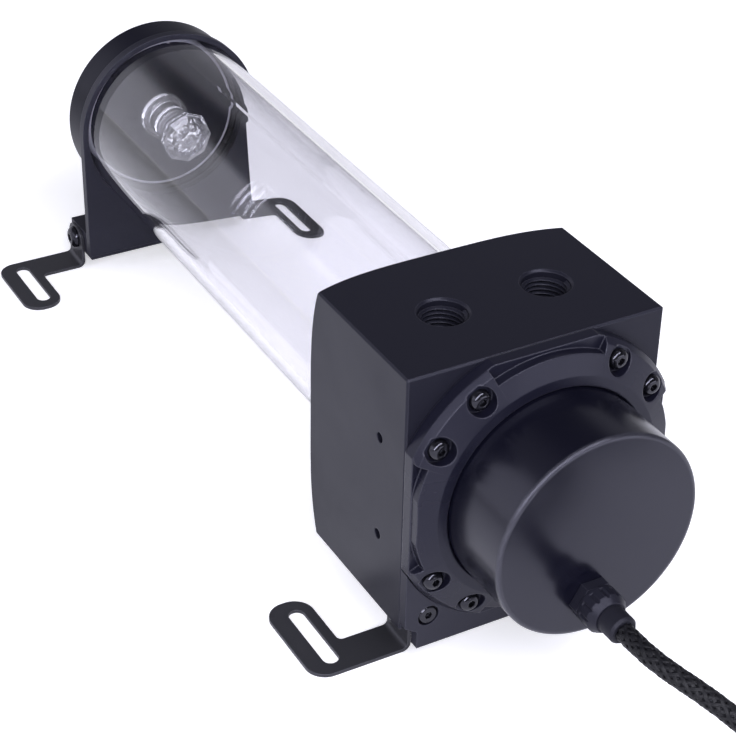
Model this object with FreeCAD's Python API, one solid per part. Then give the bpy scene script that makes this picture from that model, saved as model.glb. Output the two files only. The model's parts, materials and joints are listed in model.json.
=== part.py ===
import FreeCAD, Part
import math
import os

os.makedirs("parts", exist_ok=True)

# Shared frame: millimetres, +X right, +Y back along the tube, +Z up, floor at z = 0.
# Every shape below is drawn about the pump's axis, with the block's front face at y = 0,
# and save() moves it into the shared frame.

# Pump block, sized round the motor's flange seat
FLANGE_SEAT_RADIUS = 35.0
BLOCK_WIDTH = 2 * FLANGE_SEAT_RADIUS + 6.0
BLOCK_HEIGHT = BLOCK_WIDTH + 2.6
BLOCK_DEPTH = 50.7
BLOCK_BEVEL = 0.5
HALF_WIDTH = BLOCK_WIDTH / 2
HALF_HEIGHT = BLOCK_HEIGHT / 2
DOME_FLAT_RADIUS = HALF_HEIGHT - 0.3
DOME_ARC_RADIUS = 33.0
DOME_ARC_ANGLE = 36.0

# Ports with a 1/4 inch parallel pipe thread, drawn at the thread's major radius
PORT_RADIUS = 6.6
PORT_RIM_RADIUS = 7.18
PORT_DEPTH = 11.0
OUTLET_PORT = (17.4, 24.1)
INLET_PORT = (-14.0, 23.8)
PASSAGE_RADIUS = 3.9
OUTLET_PASSAGE_HEIGHT = 10.0
INLET_PASSAGE_HEIGHT = 14.0

# Threaded holes in the left face
SIDE_HOLE_RADIUS = 1.5
SIDE_HOLE_DEPTH = 9.0
SIDE_HOLE_Y = 12.8
SIDE_HOLE_HEIGHTS = (14.7, -15.8)

# Wet chamber
FLANGE_SEAT_DEPTH = 4.0
CAN_SEAT_RADIUS = FLANGE_SEAT_RADIUS - 4.4
CAN_FACE_Y = 9.0
VOLUTE_RADIUS = 24.0
VOLUTE_BACK_Y = 17.4
EYE_RADIUS = 6.0

# Reservoir tube and its seats
TUBE_RADIUS = 30.0
TUBE_WALL = 3.0
TUBE_START = 39.2
TUBE_LENGTH = 200.0
TUBE_END = TUBE_START + TUBE_LENGTH
SEAT_CLEARANCE = 0.1
WELL_RADIUS = TUBE_RADIUS - 5.0
WELL_DEPTH = 6.0
RING_SECTION = 1.2
FRONT_RING_Y = TUBE_START + 5.3
REAR_RING_Y = TUBE_END - 3.7

# Motor cover and clamp ring
COVER_RADIUS = FLANGE_SEAT_RADIUS - 5.3
COVER_FACE_Y = -31.8
COVER_WALL = 1.4
COVER_EDGE = 1.0
COVER_FLANGE = 1.2
RING_BORE = COVER_RADIUS + SEAT_CLEARANCE
SCREW_CIRCLE = FLANGE_SEAT_RADIUS + 2.7
SCREW_SPREAD = 12.2
RECESS_RADIUS = 3.9
RECESS_FLOOR = 4.9
RING_OUTER = SCREW_CIRCLE + 4.5
RING_BASE = 3.6
RING_TOP = 8.5
RING_LIP_TOP = 8.7
RING_LIP = 0.5
PAD_OUTER = SCREW_CIRCLE + 0.6
PAD_EDGE_TOP = 6.4
PAD_INNER = RING_BORE + 3.2
SECTOR_EDGE = RING_OUTER - 1.4
SECTOR_EDGE_TOP = 5.5
PAD_TRIM = 0.3
SECTOR_SWEEP = 2 * SCREW_SPREAD + 17.0

# Screws: head radius, head height, shank radius, key width across flats
CLAMP_SCREW = (2.9, 2.3, 1.5, 2.0)
CLAMP_SCREW_LENGTH = 14.0
BRACKET_SCREW = (2.75, 2.0, 1.5, 2.0)
BRACKET_SCREW_LENGTH = 9.0
FOOT_SCREW = (3.8, 2.2, 2.0, 2.5)
FOOT_SCREW_LENGTH = 9.5
HOLE_CLEARANCE = 0.2
HEAD_CHAMFER = 0.45

# Separation can, rotor and motor
BOWL_CENTRE_Y = 8.0
BOWL_RADIUS = 17.6
BOWL_WALL = 1.2
CAN_SPIGOT_RADIUS = CAN_SEAT_RADIUS - SEAT_CLEARANCE
BALL_RADIUS = 3.2
BALL_FIT = 0.05
POST_RADIUS = 1.5
ROTOR_RADIUS = 16.7
ROTOR_BORE = 3.6
IMPELLER_RADIUS = 19.5
IMPELLER_PLATE = 1.2
IMPELLER_GAP = 0.4
VANE_COUNT = 6
VANE_HEIGHT = 4.6
VANE_THICKNESS = 1.2
VANE_SWEEP = 50.0
VANE_BULGE = 3.0
IMPELLER_EYE = 7.0
STATOR_OUTER = COVER_RADIUS - COVER_WALL - SEAT_CLEARANCE
STATOR_INNER = 18.4
STATOR_BACK_Y = -1.0
STATOR_LENGTH = 12.0
BOARD_RADIUS = STATOR_OUTER
BOARD_THICKNESS = 1.6
BOARD_Y = -18.5
CAPACITOR_RADIUS = 4.0
CAPACITOR_HEIGHT = 7.5
CHIP_HEIGHT = 1.6
COIL_HEIGHT = 3.2
SOCKET_HEIGHT = 5.5

# Cable gland on the motor cover
GLAND_X = -1.0
GLAND_Z = -18.8
GLAND_HEX = 11.0
GLAND_BASE = 3.0
GLAND_NUT_END = 41.0
GLAND_REACH = 47.0
GLAND_NUT_RADIUS = 5.9
GLAND_SLEEVE_RADIUS = 4.0
GLAND_RIBS = 12

# End cap and light guide
CAP_RADIUS = TUBE_RADIUS + 1.0
CAP_START = TUBE_END - 9.2
CAP_END = TUBE_END + 3.3
CAP_EDGE = 0.8
SPIGOT_RADIUS = TUBE_RADIUS - TUBE_WALL - 0.2
SPIGOT_FACE = TUBE_END - 7.7
GUIDE_LENGTH = 21.5
GUIDE_END = SPIGOT_FACE - GUIDE_LENGTH
GUIDE_END_RADIUS = 8.8
GUIDE_END_FACE = 6.4
GUIDE_END_EDGE = 1.6
GUIDE_END_DISC = 4.2
GUIDE_DIMPLE = 1.9
GUIDE_DIMPLE_DEPTH = 1.0
GUIDE_STEM_RADIUS = 6.0
GUIDE_BASE_RADIUS = 8.0
GUIDE_BASE = 2.4
GUIDE_SHANK = 5.0
GUIDE_SHANK_END = SPIGOT_FACE + 10.0
GUIDE_FACETS = 8
GUIDE_SEAT_DEPTH = 1.6
LED_HOLE_RADIUS = 2.55
LED_HOLE_DEPTH = 8.0
NUT_POCKET_RADIUS = 8.6
NUT_THICKNESS = 2.6
NUT_FLATS = 14.0

# Brackets
PLATE = 3.0
PLATE_NOTCH_HALF_WIDTH = HALF_WIDTH - 3.7
PLATE_NOTCH_TOP = 0.3 - HALF_HEIGHT
PLATE_NOTCH_SLOPE = 2.5
PLATE_BOTTOM = -HALF_HEIGHT - 5.2
PLATE_RING_GAP = 0.2
BRACKET_SCREW_X = HALF_WIDTH - 7.0
BRACKET_SCREW_Z = 4.8 - HALF_HEIGHT
BRACKET_COUNTERBORE = 3.1
BAR_HALF_WIDTH = HALF_WIDTH - 7.5
BAR_DEPTH = 17.7
BAR_BOTTOM = -HALF_HEIGHT - 8.2
REAR_PLATE_Y = CAP_START - PLATE
REAR_PLATE_RADIUS = TUBE_RADIUS + 2.0

# Feet: bent sheet with a slotted leg
SHEET = 1.0
BEND_INNER = 1.5
FOOT_WIDTH = 28.9
FOOT_OUTER_X = BAR_HALF_WIDTH + FOOT_WIDTH
FOOT_REACH = REAR_PLATE_Y + 20.9
LEG_WIDTH = 13.0
LEG_LENGTH = 32.1
ARM_WIDTH = 11.3
FRONT_ARM_Y = 6.3
FOOT_CORNER = 5.9
FOOT_INNER_CORNER = 1.5
SLOT_WIDTH = 4.6
SLOT_LENGTH = 24.3
SLOT_START = 3.7
SLOT_OFFSET = 1.1
TAB_TOP_GAP = 0.2
TAB_CORNER = 4.5
FOOT_SCREW_Z = -HALF_HEIGHT - 4.6
FRONT_FOOT_SCREW_Y = FRONT_ARM_Y + ARM_WIDTH / 2
REAR_FOOT_SCREW_Y = FOOT_REACH - ARM_WIDTH / 2

# Height of the pump's axis, and the floor seen from it
AXIS_HEIGHT = HALF_HEIGHT + 14.1
FLOOR_Z = -AXIS_HEIGHT

# Cable: round braided lead, its route from the gland down to the coil, and the coil.
# The route's heights are above the floor.
CABLE_RADIUS = 2.75
CABLE_START = (GLAND_X, -GLAND_REACH, AXIS_HEIGHT + GLAND_Z)
CABLE_ROUTE = [
    CABLE_START,
    (GLAND_X, -GLAND_REACH - 8.0, CABLE_START[2]),
    (1.2, -63.2, 33.4),
    (4.9, -70.7, 31.5),
    (9.5, -78.6, 28.0),
    (14.6, -86.4, 22.5),
    (21.2, -95.4, 16.1),
    (28.6, -106.0, 10.8),
    (35.4, -115.5, 8.0),
    (40.2, -122.5, 5.8),
]
COIL_CENTRE = (22.0, -140.0)
COIL_INNER = 25.0
COIL_TURNS = 2
COIL_ENTRY = 34.8
TAIL_BEND = 25.0
TAIL_RUNS = (10.0, 12.0)
TIE_WIDTH = 3.6
TIE_THICKNESS = 0.8
TIE_ANGLE = 200.0
PLUG_WIDTH = 21.0
PLUG_HEIGHT = 9.0
PLUG_LENGTH = 24.0
PLUG_CORNER = 2.5
PIN_COUNT = 4
PIN_PITCH = 5.08
PIN_RADIUS = 1.05
SOCKET_RADIUS = 1.9
SOCKET_DEPTH = 13.0

FRAME_SHIFT = FreeCAD.Vector(0, (GLAND_REACH - FOOT_REACH) / 2, AXIS_HEIGHT)
ALONG_X = FreeCAD.Vector(1, 0, 0)
ALONG_Y = FreeCAD.Vector(0, 1, 0)
ALONG_Z = FreeCAD.Vector(0, 0, 1)
ORIGIN = FreeCAD.Vector(0, 0, 0)


def vec(x, y, z):
    return FreeCAD.Vector(x, y, z)


def save(name, *solids):
    shape = solids[0] if len(solids) == 1 else Part.makeCompound(list(solids))
    placed = shape.copy()
    placed.translate(FRAME_SHIFT)
    placed.exportStep("parts/" + name + ".step")
    print(name, round(shape.Volume, 1), "valid" if shape.isValid() else "NOT VALID", len(shape.Solids))


def block(x0, x1, y0, y1, z0, z1):
    return Part.makeBox(x1 - x0, y1 - y0, z1 - z0, vec(x0, y0, z0))


def rod_y(radius, y0, y1, x=0.0, z=0.0):
    return Part.makeCylinder(radius, y1 - y0, vec(x, y0, z), ALONG_Y)


def rod_z(radius, z0, z1, x, y):
    return Part.makeCylinder(radius, z1 - z0, vec(x, y, z0), ALONG_Z)


def tube_y(outer, inner, y0, y1):
    return rod_y(outer, y0, y1).cut(rod_y(inner, y0, y1))


def turned(profile, sweep=360):
    """Solid turned about the pump's axis from (radius, y) points, closed on themselves."""
    points = [vec(radius, y, 0) for radius, y in profile]
    face = Part.Face(Part.makePolygon(points + points[:1]))
    return face.revolve(ORIGIN, ALONG_Y, sweep)


def turned_face(edges):
    return Part.Face(Part.Wire(edges)).revolve(ORIGIN, ALONG_Y, 360)


def rim_edges(solid, radius, y):
    """The solid's round edges of this radius at this place along the axis."""
    rims = []
    for edge in solid.Edges:
        box = edge.BoundBox
        if box.YLength < 0.01 and abs(box.YMax - y) < 0.01 and abs(box.XMax - radius) < 0.01:
            rims.append(edge)
    return rims


def o_ring(centre_radius, y):
    return Part.makeTorus(centre_radius, RING_SECTION, vec(0, y, 0), ALONG_Y)


def prism(points, direction):
    return Part.Face(Part.makePolygon(points + points[:1])).extrude(direction)


def hexagon_y(flats, y0, y1, x=0.0, z=0.0):
    corner = flats / math.sqrt(3)
    angles = [math.radians(60 * step) for step in range(6)]
    points = [vec(x + corner * math.cos(a), y0, z + corner * math.sin(a)) for a in angles]
    return prism(points, vec(0, y1 - y0, 0))


def socket_screw(size, length):
    """Socket head screw on the Y axis: under-head face at y = 0, shank towards +Y."""
    head_radius, head_height, shank_radius, key = size
    screw = turned([
        (0, -head_height),
        (head_radius - HEAD_CHAMFER, -head_height),
        (head_radius, HEAD_CHAMFER - head_height),
        (head_radius, 0),
        (shank_radius, 0),
        (shank_radius, length),
        (0, length),
    ])
    return screw.cut(hexagon_y(key, -head_height, -0.45 * head_height))


def button_screw(size, length):
    """Button head screw on the Y axis: under-head face at y = 0, shank towards +Y."""
    head_radius, head_height, shank_radius, key = size
    land = 0.45 * head_radius
    side = 0.25 * head_height
    crown = vec(land, -head_height, 0)
    rim = vec(head_radius, -side, 0)
    middle = vec(0.8 * head_radius, -0.8 * head_height, 0)
    head = turned_face([
        Part.makeLine(ORIGIN, vec(0, -head_height, 0)),
        Part.makeLine(vec(0, -head_height, 0), crown),
        Part.Arc(crown, middle, rim).toShape(),
        Part.makeLine(rim, vec(head_radius, 0, 0)),
        Part.makeLine(vec(head_radius, 0, 0), ORIGIN),
    ])
    screw = head.fuse(rod_y(shank_radius, 0, length))
    return screw.cut(hexagon_y(key, -head_height, -0.3 * head_height)).removeSplitter()


def clamp_screw_places():
    places = []
    for quadrant in range(4):
        for side in (-1, 1):
            turn = math.radians(90 * quadrant + 45 + side * SCREW_SPREAD)
            places.append((SCREW_CIRCLE * math.cos(turn), SCREW_CIRCLE * math.sin(turn)))
    return places


def pump_block():
    body = block(-HALF_WIDTH, HALF_WIDTH, 0, BLOCK_DEPTH, -HALF_HEIGHT, HALF_HEIGHT)
    outer_edges = [e for e in body.Edges if e.BoundBox.YLength > 1 or e.BoundBox.YMax < 1]
    body = body.makeChamfer(BLOCK_BEVEL, outer_edges)
    body = body.common(rear_dome())
    body = body.cut(rod_y(FLANGE_SEAT_RADIUS, 0, FLANGE_SEAT_DEPTH))
    body = body.cut(rod_y(CAN_SEAT_RADIUS, 0, CAN_FACE_Y))
    body = body.cut(rod_y(VOLUTE_RADIUS, 0, VOLUTE_BACK_Y))
    body = body.cut(rod_y(EYE_RADIUS, 0, BLOCK_DEPTH))
    well_start = TUBE_START - WELL_DEPTH
    body = body.cut(rod_y(WELL_RADIUS, well_start, BLOCK_DEPTH))
    body = body.cut(rod_y(TUBE_RADIUS + SEAT_CLEARANCE, TUBE_START, BLOCK_DEPTH))
    groove = TUBE_RADIUS + 2 * RING_SECTION
    body = body.cut(rod_y(groove, FRONT_RING_Y - RING_SECTION, FRONT_RING_Y + RING_SECTION))
    body = cut_port(body, OUTLET_PORT, OUTLET_PASSAGE_HEIGHT)
    body = cut_port(body, INLET_PORT, INLET_PASSAGE_HEIGHT)
    outlet_x, outlet_y = OUTLET_PORT
    inlet_x, inlet_y = INLET_PORT
    body = body.cut(rod_y(PASSAGE_RADIUS, CAN_FACE_Y, outlet_y, outlet_x, OUTLET_PASSAGE_HEIGHT))
    body = body.cut(rod_y(PASSAGE_RADIUS, inlet_y, TUBE_START, inlet_x, INLET_PASSAGE_HEIGHT))
    for height in SIDE_HOLE_HEIGHTS:
        mouth = vec(-HALF_WIDTH, SIDE_HOLE_Y, height)
        body = body.cut(Part.makeCylinder(SIDE_HOLE_RADIUS, SIDE_HOLE_DEPTH, mouth, ALONG_X))
    for x, z in clamp_screw_places():
        body = body.cut(rod_y(CLAMP_SCREW[2], 0, CLAMP_SCREW_LENGTH, x, z))
    for side in (-1, 1):
        hole = rod_y(BRACKET_SCREW[2], 0, BRACKET_SCREW_LENGTH, side * BRACKET_SCREW_X, BRACKET_SCREW_Z)
        body = body.cut(hole)
    save("pump_block", body)


def rear_dome():
    """Turned outline that rounds the block's rear face off towards its corners."""
    centre_y = BLOCK_DEPTH - DOME_ARC_RADIUS

    def rim(angle):
        turn = math.radians(angle)
        radius = DOME_FLAT_RADIUS + DOME_ARC_RADIUS * math.sin(turn)
        return vec(radius, centre_y + DOME_ARC_RADIUS * math.cos(turn), 0)

    end = rim(DOME_ARC_ANGLE)
    arc = Part.Arc(rim(0), rim(DOME_ARC_ANGLE / 2), end).toShape()
    edges = [
        Part.makeLine(vec(0, BLOCK_DEPTH, 0), rim(0)),
        arc,
        Part.makeLine(end, vec(end.x, -PLATE, 0)),
        Part.makeLine(vec(end.x, -PLATE, 0), vec(0, -PLATE, 0)),
        Part.makeLine(vec(0, -PLATE, 0), vec(0, BLOCK_DEPTH, 0)),
    ]
    return turned_face(edges)


def cut_port(body, place, passage_height):
    x, y = place
    top = HALF_HEIGHT
    rim_depth = PORT_RIM_RADIUS - PORT_RADIUS
    body = body.cut(rod_z(PORT_RADIUS, top - PORT_DEPTH, top, x, y))
    rim = Part.makeCone(PORT_RADIUS, PORT_RIM_RADIUS, rim_depth, vec(x, y, top - rim_depth), ALONG_Z)
    body = body.cut(rim)
    return body.cut(rod_z(PASSAGE_RADIUS, passage_height, top, x, y))


def clamp_ring():
    """Ring that slopes up towards the cover, wider round each pair of screws."""
    ring = turned([
        (RING_BORE, 0),
        (PAD_OUTER, 0),
        (PAD_OUTER, -PAD_EDGE_TOP),
        (PAD_INNER, -RING_TOP),
        (RING_BORE + RING_LIP, -RING_LIP_TOP),
        (RING_BORE, RING_LIP - RING_LIP_TOP),
    ])
    sector = turned([
        (PAD_INNER, 0),
        (RING_OUTER, 0),
        (RING_OUTER, -RING_BASE),
        (SECTOR_EDGE, -SECTOR_EDGE_TOP),
        (PAD_INNER, -RING_TOP),
    ], SECTOR_SWEEP)
    for quadrant in range(4):
        placed = sector.copy()
        placed.rotate(ORIGIN, ALONG_Y, 90 * quadrant + 45 - SECTOR_SWEEP / 2)
        ring = ring.fuse(placed)
    half_width = HALF_WIDTH - PAD_TRIM
    half_height = HALF_HEIGHT - PAD_TRIM
    ring = ring.common(block(-half_width, half_width, -RING_LIP_TOP, 0, -half_height, half_height))
    base = tube_y(RING_OUTER, RING_BORE, -RING_BASE, 0)
    base = base.common(block(-HALF_WIDTH, HALF_WIDTH, -RING_BASE, 0, -HALF_HEIGHT, HALF_HEIGHT))
    ring = ring.fuse(base).removeSplitter()
    for x, z in clamp_screw_places():
        ring = ring.cut(rod_y(RECESS_RADIUS, -RING_LIP_TOP, -RECESS_FLOOR, x, z))
        ring = ring.cut(rod_y(CLAMP_SCREW[2] + HOLE_CLEARANCE, -RING_TOP, 0, x, z))
    save("clamp_ring", ring)


def clamp_ring_screws():
    screws = []
    for x, z in clamp_screw_places():
        screw = button_screw(CLAMP_SCREW, CLAMP_SCREW_LENGTH)
        screw.rotate(ORIGIN, ALONG_Y, math.degrees(math.atan2(x, z)))
        screw.translate(vec(x, -RECESS_FLOOR, z))
        screws.append(screw)
    save("clamp_ring_screws", *screws)


def motor_cover():
    face = COVER_FACE_Y
    cover = turned([
        (0, face),
        (COVER_RADIUS, face),
        (COVER_RADIUS, 0),
        (FLANGE_SEAT_RADIUS - SEAT_CLEARANCE, 0),
        (FLANGE_SEAT_RADIUS - SEAT_CLEARANCE, COVER_FLANGE),
        (COVER_RADIUS - COVER_WALL, COVER_FLANGE),
        (COVER_RADIUS - COVER_WALL, face + COVER_WALL),
        (0, face + COVER_WALL),
    ])
    cover = cover.makeFillet(COVER_EDGE, rim_edges(cover, COVER_RADIUS, face))
    cover = cover.cut(rod_y(GLAND_SLEEVE_RADIUS, face, face + COVER_WALL, GLAND_X, GLAND_Z))
    save("motor_cover", cover)


def separation_can():
    """Plastic wall between the wet rotor and the dry motor, with a round bowl."""
    flange_y = COVER_FLANGE
    face_y = CAN_FACE_Y
    can = tube_y(FLANGE_SEAT_RADIUS - SEAT_CLEARANCE, BOWL_RADIUS, flange_y, FLANGE_SEAT_DEPTH)
    can = can.fuse(tube_y(CAN_SPIGOT_RADIUS, BOWL_RADIUS - 0.2, flange_y, face_y))
    bowl_centre = vec(0, BOWL_CENTRE_Y, 0)
    outer = Part.makeSphere(BOWL_RADIUS + BOWL_WALL, bowl_centre)
    front_half = block(-BLOCK_WIDTH, BLOCK_WIDTH, -BLOCK_WIDTH, face_y, -BLOCK_WIDTH, BLOCK_WIDTH)
    can = can.fuse(outer.common(front_half))
    can = can.cut(Part.makeSphere(BOWL_RADIUS, bowl_centre))
    can = can.cut(rod_y(BOWL_RADIUS, BOWL_CENTRE_Y, face_y))
    groove_floor = CAN_SEAT_RADIUS - 2 * RING_SECTION
    groove = tube_y(CAN_SEAT_RADIUS, groove_floor, can_ring_y() - RING_SECTION, can_ring_y() + RING_SECTION)
    can = can.cut(groove)
    save("separation_can", can.removeSplitter())


def can_ring_y():
    return (FLANGE_SEAT_DEPTH + CAN_FACE_Y) / 2 + 0.4


def bearing_ball():
    centre = vec(0, BOWL_CENTRE_Y, 0)
    post_start = BOWL_CENTRE_Y - BOWL_RADIUS - BOWL_WALL / 2
    post = rod_y(POST_RADIUS, post_start, BOWL_CENTRE_Y)
    save("bearing_ball", Part.makeSphere(BALL_RADIUS, centre).fuse(post))


def rotor_magnet():
    centre = vec(0, BOWL_CENTRE_Y, 0)
    top = CAN_FACE_Y + IMPELLER_GAP
    magnet = Part.makeSphere(ROTOR_RADIUS, centre)
    magnet = magnet.common(block(-BLOCK_WIDTH, BLOCK_WIDTH, -BLOCK_WIDTH, BOWL_CENTRE_Y, -BLOCK_WIDTH, BLOCK_WIDTH))
    magnet = magnet.fuse(rod_y(ROTOR_RADIUS, BOWL_CENTRE_Y, top))
    magnet = magnet.cut(rod_y(ROTOR_BORE, -BLOCK_WIDTH, BOWL_CENTRE_Y))
    magnet = magnet.cut(Part.makeSphere(BALL_RADIUS + BALL_FIT, centre))
    save("rotor_magnet", magnet.removeSplitter())


def vane(turn):
    """One backward-swept vane between the impeller's eye and its rim."""
    base_y = CAN_FACE_Y + IMPELLER_GAP + IMPELLER_PLATE
    sweep = math.radians(VANE_SWEEP)
    start = vec(IMPELLER_EYE, base_y, 0)
    rim = IMPELLER_RADIUS - 0.5
    end = vec(rim * math.cos(sweep), base_y, rim * math.sin(sweep))
    chord = end - start
    side = vec(chord.z, 0, -chord.x).normalize()
    middle = (start + end) * 0.5 + side * VANE_BULGE
    offset = side * VANE_THICKNESS
    edges = [
        Part.Arc(start, middle, end).toShape(),
        Part.makeLine(end, end + offset),
        Part.Arc(end + offset, middle + offset, start + offset).toShape(),
        Part.makeLine(start + offset, start),
    ]
    blade = Part.Face(Part.Wire(edges)).extrude(vec(0, VANE_HEIGHT, 0))
    blade.rotate(ORIGIN, ALONG_Y, turn)
    return blade


def impeller():
    base_y = CAN_FACE_Y + IMPELLER_GAP
    vane_y = base_y + IMPELLER_PLATE
    wheel = rod_y(IMPELLER_RADIUS, base_y, vane_y)
    shroud_y = vane_y + VANE_HEIGHT
    shroud = tube_y(IMPELLER_RADIUS, IMPELLER_EYE, shroud_y - IMPELLER_PLATE, shroud_y)
    wheel = wheel.fuse(shroud)
    for step in range(VANE_COUNT):
        wheel = wheel.fuse(vane(360 * step / VANE_COUNT))
    wheel = wheel.cut(Part.makeSphere(BALL_RADIUS + BALL_FIT, vec(0, BOWL_CENTRE_Y, 0)))
    save("impeller", wheel.removeSplitter())


def stator_coil():
    """Wound ring and its claw poles round the can's bowl."""
    front_y = STATOR_BACK_Y - STATOR_LENGTH
    ring = tube_y(STATOR_OUTER, STATOR_INNER, front_y, STATOR_BACK_Y)
    winding = tube_y(STATOR_OUTER + 1.0, STATOR_OUTER - 4.0, front_y + 3.0, STATOR_BACK_Y - 3.0)
    ring = ring.cut(winding)
    ring = ring.fuse(tube_y(STATOR_OUTER - 1.2, STATOR_OUTER - 4.5, front_y + 2.5, STATOR_BACK_Y - 2.5))
    for step in range(6):
        turn = math.radians(60 * step + 30)
        across = (STATOR_INNER + 3.0) * math.cos(turn)
        up = (STATOR_INNER + 3.0) * math.sin(turn)
        ring = ring.cut(rod_y(1.6, front_y, front_y + 2.4, across, up))
    save("stator_coil", ring.removeSplitter())


def circuit_board():
    """Round board with a capacitor, a coil, a driver chip and the lead's socket."""
    board = rod_y(BOARD_RADIUS, BOARD_Y, BOARD_Y + BOARD_THICKNESS)
    unit = BOARD_RADIUS / 10
    capacitor = rod_y(CAPACITOR_RADIUS, BOARD_Y - CAPACITOR_HEIGHT, BOARD_Y, -4.2 * unit, 4 * unit)
    driver = block(-1.8 * unit, 3.2 * unit, BOARD_Y - CHIP_HEIGHT, BOARD_Y, -2 * unit, 0.4 * unit)
    choke = block(1.4 * unit, 4.2 * unit, BOARD_Y - COIL_HEIGHT, BOARD_Y, 2 * unit, 5 * unit)
    socket = block(-2.8 * unit, 2.1 * unit, BOARD_Y - SOCKET_HEIGHT, BOARD_Y, -7.8 * unit, -5.7 * unit)
    for component in (capacitor, driver, choke, socket):
        board = board.fuse(component)
    save("circuit_board", board.removeSplitter())


def seals():
    save("tube_seal_front", o_ring(TUBE_RADIUS + RING_SECTION, FRONT_RING_Y))
    save("tube_seal_rear", o_ring(TUBE_RADIUS - TUBE_WALL - RING_SECTION, REAR_RING_Y))
    save("pump_seal", o_ring(CAN_SEAT_RADIUS - RING_SECTION, can_ring_y()))


def cable_gland():
    face = COVER_FACE_Y
    base_end = face - GLAND_BASE
    body = hexagon_y(GLAND_HEX, base_end, face, GLAND_X, GLAND_Z)
    body = body.fuse(rod_y(GLAND_SLEEVE_RADIUS, face, face + COVER_WALL, GLAND_X, GLAND_Z))
    save("cable_gland", body.removeSplitter())
    nut = turned([
        (0, base_end),
        (GLAND_NUT_RADIUS, base_end),
        (GLAND_NUT_RADIUS, -GLAND_NUT_END + 2.0),
        (GLAND_NUT_RADIUS - 1.4, -GLAND_NUT_END),
        (0, -GLAND_NUT_END),
    ])
    for step in range(GLAND_RIBS):
        turn = 2 * math.pi * step / GLAND_RIBS
        groove_x = (GLAND_NUT_RADIUS + 0.35) * math.cos(turn)
        groove_z = (GLAND_NUT_RADIUS + 0.35) * math.sin(turn)
        nut = nut.cut(rod_y(0.7, -GLAND_NUT_END, base_end - 1.0, groove_x, groove_z))
    nut.translate(vec(GLAND_X, 0, GLAND_Z))
    save("gland_nut", nut)
    sleeve = turned([
        (0, -GLAND_NUT_END),
        (GLAND_SLEEVE_RADIUS, -GLAND_NUT_END),
        (GLAND_SLEEVE_RADIUS, -GLAND_REACH + 0.8),
        (GLAND_SLEEVE_RADIUS - 0.6, -GLAND_REACH),
        (0, -GLAND_REACH),
    ])
    sleeve.translate(vec(GLAND_X, 0, GLAND_Z))
    save("gland_sleeve", sleeve)


def reservoir_tube():
    save("reservoir_tube", tube_y(TUBE_RADIUS, TUBE_RADIUS - TUBE_WALL, TUBE_START, TUBE_END))


def end_cap():
    cap = turned([
        (0, SPIGOT_FACE),
        (SPIGOT_RADIUS - 0.6, SPIGOT_FACE),
        (SPIGOT_RADIUS, SPIGOT_FACE + 0.6),
        (SPIGOT_RADIUS, TUBE_END),
        (TUBE_RADIUS + SEAT_CLEARANCE, TUBE_END),
        (TUBE_RADIUS + SEAT_CLEARANCE, CAP_START),
        (CAP_RADIUS, CAP_START),
        (CAP_RADIUS, CAP_END - CAP_EDGE),
        (CAP_RADIUS - CAP_EDGE, CAP_END),
        (0, CAP_END),
    ])
    groove_floor = TUBE_RADIUS - TUBE_WALL - 2 * RING_SECTION
    cap = cap.cut(tube_y(SPIGOT_RADIUS, groove_floor, REAR_RING_Y - RING_SECTION, REAR_RING_Y + RING_SECTION))
    cap = cap.cut(rod_y(GUIDE_SHANK + SEAT_CLEARANCE, SPIGOT_FACE, CAP_END))
    cap = cap.cut(rod_y(NUT_POCKET_RADIUS, CAP_END - NUT_THICKNESS, CAP_END))
    ring_room = tube_y(GUIDE_BASE_RADIUS - 0.6, GUIDE_SHANK, SPIGOT_FACE, SPIGOT_FACE + GUIDE_SEAT_DEPTH)
    cap = cap.cut(ring_room)
    save("end_cap", cap)
    seal_radius = (GUIDE_BASE_RADIUS - 0.6 + GUIDE_SHANK) / 2
    half = GUIDE_SEAT_DEPTH / 2
    save("guide_seal", Part.makeTorus(seal_radius, half, vec(0, SPIGOT_FACE + half, 0), ALONG_Y))


def light_guide():
    """Clear plug on the cap's axis: a stem from its base disc to a faceted, dimpled knob."""
    base_y = SPIGOT_FACE - GUIDE_BASE
    knob_y = GUIDE_END + GUIDE_END_DISC
    guide = rod_y(GUIDE_STEM_RADIUS, knob_y, base_y)
    guide = guide.fuse(rod_y(GUIDE_BASE_RADIUS, base_y, SPIGOT_FACE))
    guide = guide.fuse(rod_y(GUIDE_SHANK, SPIGOT_FACE, GUIDE_SHANK_END))
    guide = guide.fuse(faceted_knob(knob_y)).removeSplitter()
    hole_start = GUIDE_SHANK_END - LED_HOLE_DEPTH
    guide = guide.cut(rod_y(LED_HOLE_RADIUS, hole_start, GUIDE_SHANK_END))
    save("light_guide", guide)
    nut = hexagon_y(NUT_FLATS, CAP_END - NUT_THICKNESS, CAP_END - 0.4)
    save("guide_nut", nut.cut(rod_y(GUIDE_SHANK, CAP_END - NUT_THICKNESS, CAP_END)))


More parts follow.
